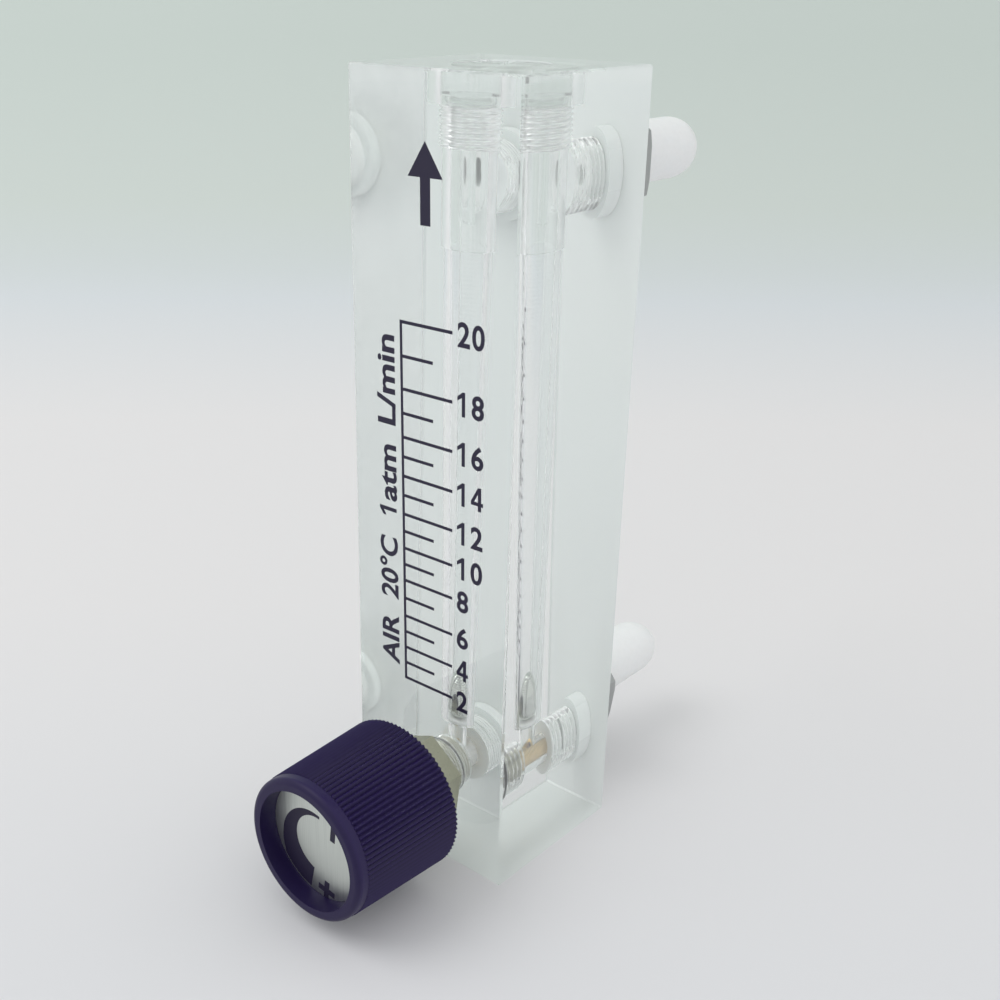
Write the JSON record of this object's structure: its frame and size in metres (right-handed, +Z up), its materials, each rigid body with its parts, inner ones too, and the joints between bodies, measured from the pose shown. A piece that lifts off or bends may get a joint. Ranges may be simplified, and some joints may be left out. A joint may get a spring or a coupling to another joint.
{
  "type": "rotameter",
  "caption": "Clear acrylic panel rotameter with a steel float in a tapered bore, a front needle valve knob and two capped rear hose studs.",
  "frame": {"origin": "centre of the block's bottom face", "axes": "+Z up along the tapered bore, +Y from the knob towards the rear studs, +X to the right seen from the front"},
  "size_m": [0.03, 0.0885, 0.12],
  "materials": {
    "clear_acrylic": "clear cast acrylic, polished outside, machined bores",
    "polished_steel": "turned and polished",
    "clear_silicone": "translucent silicone",
    "brass": "turned",
    "nickel_plated_brass": "satin nickel plate over brass",
    "black_rubber": "smooth nitrile",
    "dark_plastic": "moulded, ribbed grip",
    "zinc_plated_steel": "bright zinc plate",
    "brushed_aluminium": "straight brushed, printed",
    "white_tape": "thin sealing tape",
    "white_ptfe": "skived fluoropolymer sheet, punched",
    "white_plastic": "soft polyethylene"
  },
  "bodies": {
    "housing": {"flow_body": "clear_acrylic", "float_seat": "clear_silicone", "top_plug": "clear_acrylic", "top_plug_seal": "clear_silicone", "valve_cartridge": "brass", "valve_bonnet": "nickel_plated_brass", "bonnet_seal": "black_rubber", "port_stud_lower": "nickel_plated_brass", "thread_tape_lower": "white_tape", "port_seal_lower": "white_ptfe", "panel_washer_lower": "zinc_plated_steel", "panel_nut_lower": "zinc_plated_steel", "port_stud_upper": "nickel_plated_brass", "thread_tape_upper": "white_tape", "port_seal_upper": "white_ptfe", "panel_washer_upper": "zinc_plated_steel", "panel_nut_upper": "zinc_plated_steel"},
    "float": {"float": "polished_steel"},
    "stem_seals": {"stem_seal_outer": "black_rubber", "stem_seal_inner": "black_rubber"},
    "knob": {"needle_spindle": "brass", "knob": "dark_plastic", "knob_insert": "brass", "knob_screw": "zinc_plated_steel", "knob_dial": "brushed_aluminium"},
    "cap_lower": {"port_cap_lower": "white_plastic"},
    "cap_upper": {"port_cap_upper": "white_plastic"}
  },
  "joints": [
    {"name": "float_rise", "type": "slide", "parent": "housing", "child": "float", "axis": [0, 0, 1], "range_m": [0, 0.0698]},
    {"name": "needle_travel", "type": "slide", "parent": "housing", "child": "stem_seals", "axis": [0, -1, 0], "range_m": [0, 0.003]},
    {"name": "knob_turn", "type": "hinge", "parent": "stem_seals", "child": "knob", "pos_m": [0, -0.03, 0.0143], "axis": [0, -1, 0], "range_deg": [0, 2160]},
    {"name": "cap_lower_pull", "type": "slide", "parent": "housing", "child": "cap_lower", "axis": [0, 1, 0], "range_m": [0, 0.018]},
    {"name": "cap_upper_pull", "type": "slide", "parent": "housing", "child": "cap_upper", "axis": [0, 1, 0], "range_m": [0, 0.018]}
  ],
  "couplings": [
    {"joint": "needle_travel", "follows": "knob_turn", "m_per_rad": 0.000079577}
  ]
}
